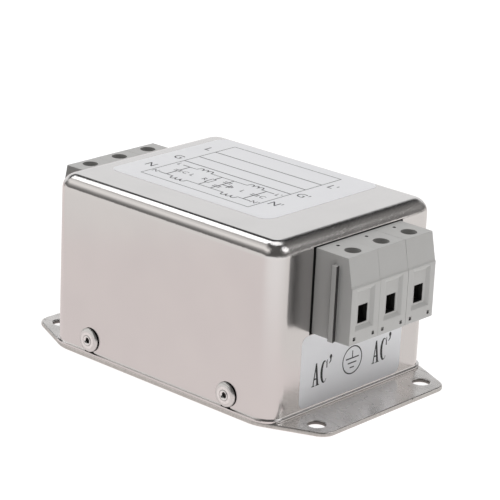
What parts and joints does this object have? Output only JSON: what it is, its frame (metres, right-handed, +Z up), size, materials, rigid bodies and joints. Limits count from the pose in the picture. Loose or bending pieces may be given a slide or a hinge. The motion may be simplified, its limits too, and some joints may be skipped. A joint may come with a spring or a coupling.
{
  "type": "emi line filter",
  "caption": "Chassis-mounted mains interference filter: a drawn steel can on a flanged base plate, with a block of screw clamp terminals at each end.",
  "frame": {"origin": "centre of the base plate's underside, which lies on z = 0", "axes": "+Z up from the mounting surface through the can; X along the length, +X towards the load terminals and -X towards the line terminals; Y across the width, the live pole at +Y"},
  "size_m": [0.098, 0.06, 0.0451],
  "materials": {
    "plate": "satin",
    "can": "satin",
    "rail": "satin",
    "rivet": "satin",
    "mandrel": "satin",
    "housing": "matte",
    "bar": "satin",
    "cage": "satin",
    "screw": "satin",
    "sheet": "matte",
    "pillar": "satin",
    "board": "matte",
    "ferrite": "matte",
    "winding": "satin",
    "box_capacitor": "satin",
    "disc_capacitor": "satin",
    "resistor": "matte",
    "label": "matte"
  },
  "bodies": {
    "case": {"base_plate": "plate", "side_rail_front": "rail", "side_rail_back": "rail", "cover_can": "can", "rivet_bodies": "rivet", "rivet_mandrels": "mandrel", "insulating_sheet": "sheet", "board_pillars": "pillar", "board_screws": "screw", "circuit_board": "board", "bleed_resistor": "resistor", "top_label": "label", "line_label": "label", "load_label": "label", "x_capacitor_line": "box_capacitor", "x_capacitor_load": "box_capacitor", "x_capacitor_middle": "box_capacitor", "line_housing_n": "housing", "line_bar_n": "bar", "line_housing_g": "housing", "line_bar_g": "bar", "line_housing_l": "housing", "line_bar_l": "bar", "load_housing_n": "housing", "load_bar_n": "bar", "load_housing_g": "housing", "load_bar_g": "bar", "load_housing_l": "housing", "load_bar_l": "bar", "choke_core_line": "ferrite", "choke_core_load": "ferrite", "winding_line_n": "winding", "y_capacitor_line_n": "disc_capacitor", "winding_line_l": "winding", "y_capacitor_line_l": "disc_capacitor", "winding_load_n": "winding", "y_capacitor_load_n": "disc_capacitor", "winding_load_l": "winding", "y_capacitor_load_l": "disc_capacitor"},
    "line_screw_n": {"line_screw_n": "screw"},
    "line_cage_n": {"line_cage_n": "cage"},
    "line_screw_g": {"line_screw_g": "screw"},
    "line_cage_g": {"line_cage_g": "cage"},
    "line_screw_l": {"line_screw_l": "screw"},
    "line_cage_l": {"line_cage_l": "cage"},
    "load_screw_n": {"load_screw_n": "screw"},
    "load_cage_n": {"load_cage_n": "cage"},
    "load_screw_g": {"load_screw_g": "screw"},
    "load_cage_g": {"load_cage_g": "cage"},
    "load_screw_l": {"load_screw_l": "screw"},
    "load_cage_l": {"load_cage_l": "cage"}
  },
  "joints": [
    {"name": "line_turn_n", "type": "hinge", "parent": "case", "child": "line_screw_n", "pos_m": [-0.0436, -0.0103, 0.038], "axis": [0, 0, -1], "range_deg": [0, 2880]},
    {"name": "line_lift_n", "type": "slide", "parent": "case", "child": "line_cage_n", "axis": [0, 0, 1], "range_m": [0, 0.004]},
    {"name": "line_turn_g", "type": "hinge", "parent": "case", "child": "line_screw_g", "pos_m": [-0.0436, 0, 0.038], "axis": [0, 0, -1], "range_deg": [0, 2880]},
    {"name": "line_lift_g", "type": "slide", "parent": "case", "child": "line_cage_g", "axis": [0, 0, 1], "range_m": [0, 0.004]},
    {"name": "line_turn_l", "type": "hinge", "parent": "case", "child": "line_screw_l", "pos_m": [-0.0436, 0.0103, 0.038], "axis": [0, 0, -1], "range_deg": [0, 2880]},
    {"name": "line_lift_l", "type": "slide", "parent": "case", "child": "line_cage_l", "axis": [0, 0, 1], "range_m": [0, 0.004]},
    {"name": "load_turn_n", "type": "hinge", "parent": "case", "child": "load_screw_n", "pos_m": [0.0436, -0.0103, 0.038], "axis": [0, 0, -1], "range_deg": [0, 2880]},
    {"name": "load_lift_n", "type": "slide", "parent": "case", "child": "load_cage_n", "axis": [0, 0, 1], "range_m": [0, 0.004]},
    {"name": "load_turn_g", "type": "hinge", "parent": "case", "child": "load_screw_g", "pos_m": [0.0436, 0, 0.038], "axis": [0, 0, -1], "range_deg": [0, 2880]},
    {"name": "load_lift_g", "type": "slide", "parent": "case", "child": "load_cage_g", "axis": [0, 0, 1], "range_m": [0, 0.004]},
    {"name": "load_turn_l", "type": "hinge", "parent": "case", "child": "load_screw_l", "pos_m": [0.0436, 0.0103, 0.038], "axis": [0, 0, -1], "range_deg": [0, 2880]},
    {"name": "load_lift_l", "type": "slide", "parent": "case", "child": "load_cage_l", "axis": [0, 0, 1], "range_m": [0, 0.004]}
  ],
  "couplings": [
    {"joint": "line_turn_n", "follows": "line_lift_n", "rad_per_m": 12566},
    {"joint": "line_turn_g", "follows": "line_lift_g", "rad_per_m": 12566},
    {"joint": "line_turn_l", "follows": "line_lift_l", "rad_per_m": 12566},
    {"joint": "load_turn_n", "follows": "load_lift_n", "rad_per_m": 12566},
    {"joint": "load_turn_g", "follows": "load_lift_g", "rad_per_m": 12566},
    {"joint": "load_turn_l", "follows": "load_lift_l", "rad_per_m": 12566}
  ]
}
